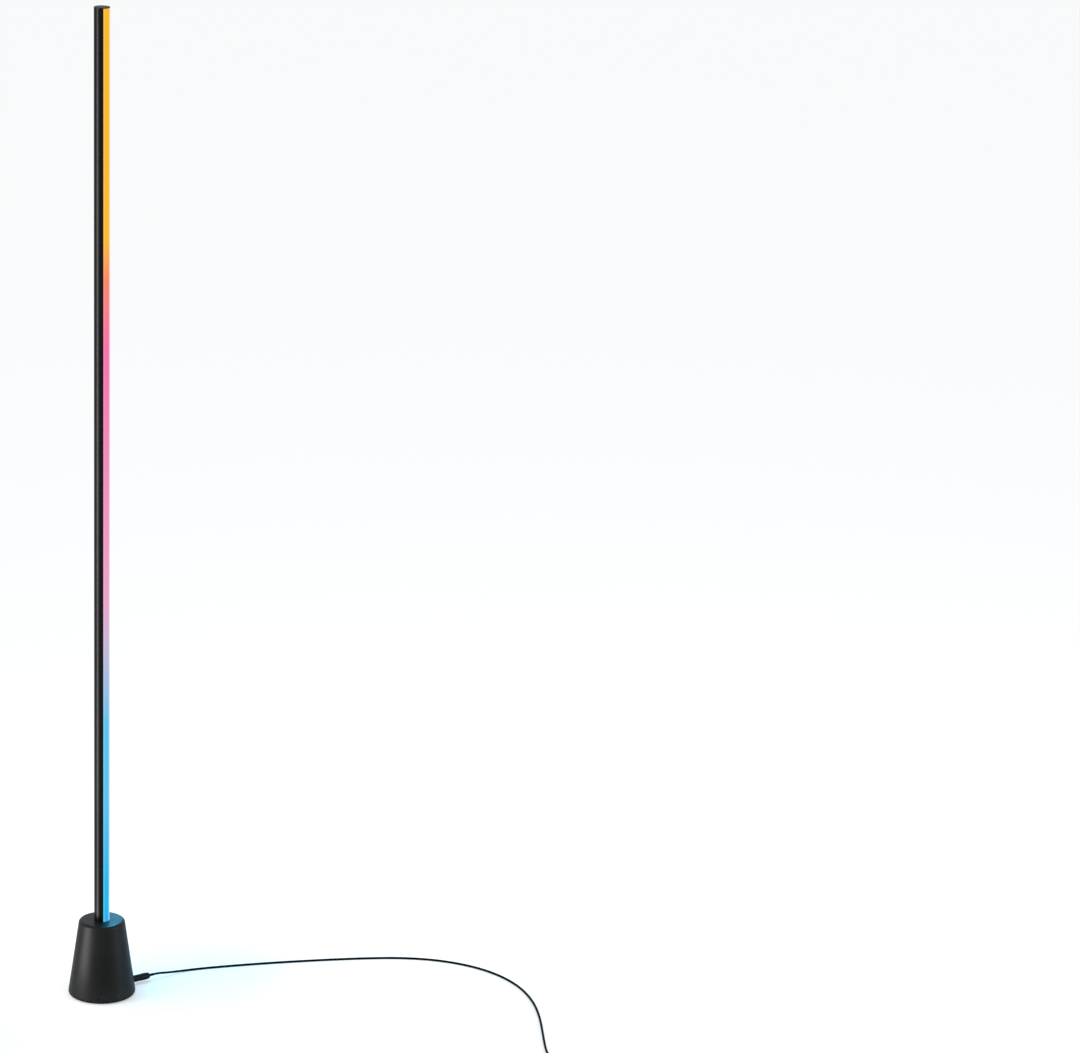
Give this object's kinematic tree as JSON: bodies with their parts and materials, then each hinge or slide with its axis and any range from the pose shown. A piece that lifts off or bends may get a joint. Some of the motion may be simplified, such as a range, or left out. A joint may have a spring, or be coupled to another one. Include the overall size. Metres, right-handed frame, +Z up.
{
  "type": "corner floor lamp",
  "caption": "Slim round light bar standing on a tapered weighted base, dark at the front and glowing at the rear, with a plug-in lead, its tied coil and a wall adapter.",
  "frame": {"origin": "on the floor, on the axis of the light bar and the base", "axes": "+Z up, -Y the dark front, +Y the lit rear where the lead plugs in"},
  "size_m": [0.767, 0.5986, 1.493],
  "materials": {
    "base_plastic": "matt black powder coat on a steel shell",
    "iron": "rough grey casting",
    "plate_steel": "black sheet steel",
    "pad_rubber": "matt foam rubber",
    "screw_steel": "zinc plated",
    "foot_alloy": "die cast, as cast",
    "black_anodised": "satin black anodised",
    "opal": "opal, glows from behind",
    "cap_plastic": "matt black",
    "strip_white": "white flexible board",
    "chip_white": "white case with a yellow window",
    "board_green": "coated board",
    "board_post": "natural nylon",
    "can_steel": "plain metal can",
    "choke_black": "ferrite grey",
    "socket_white": "off-white",
    "cable_white": "white jacket",
    "jack_black": "black",
    "plug_black": "satin black moulding",
    "contact_nickel": "nickel plated",
    "cord_black": "satin black jacket",
    "tie_black": "woven strap",
    "adapter_black": "fine spark texture, black"
  },
  "bodies": {
    "lamp": {"base_shell": "base_plastic", "counterweight": "iron", "bottom_plate": "plate_steel", "foot_pad": "pad_rubber", "plate_screws": "screw_steel", "bar_bolt": "screw_steel", "bolt_washer": "screw_steel", "bar_foot": "foot_alloy", "foot_screws": "screw_steel", "light_channel": "black_anodised", "diffuser": "opal", "top_cap": "cap_plastic", "led_strip": "strip_white", "led_chips": "chip_white", "control_board": "board_green", "board_posts": "board_post", "radio_module": "can_steel", "capacitor": "can_steel", "choke_coil": "choke_black", "cable_socket": "socket_white", "strip_cable": "cable_white", "power_jack": "jack_black"},
    "cord_set": {"plug_grip": "plug_black", "plug_barrel": "contact_nickel", "cord_lead": "cord_black", "cord_coil": "cord_black", "cord_tail": "cord_black", "cord_tie": "tie_black", "adapter_shell": "adapter_black", "adapter_face": "adapter_black", "adapter_pins": "contact_nickel", "adapter_gland": "plug_black", "adapter_board": "board_green", "adapter_transformer": "choke_black", "adapter_capacitor": "can_steel"}
  },
  "joints": [
    {"name": "plug_pull", "type": "slide", "parent": "lamp", "child": "cord_set", "axis": [0, 1, 0], "range_m": [0, 0.0095]}
  ]
}
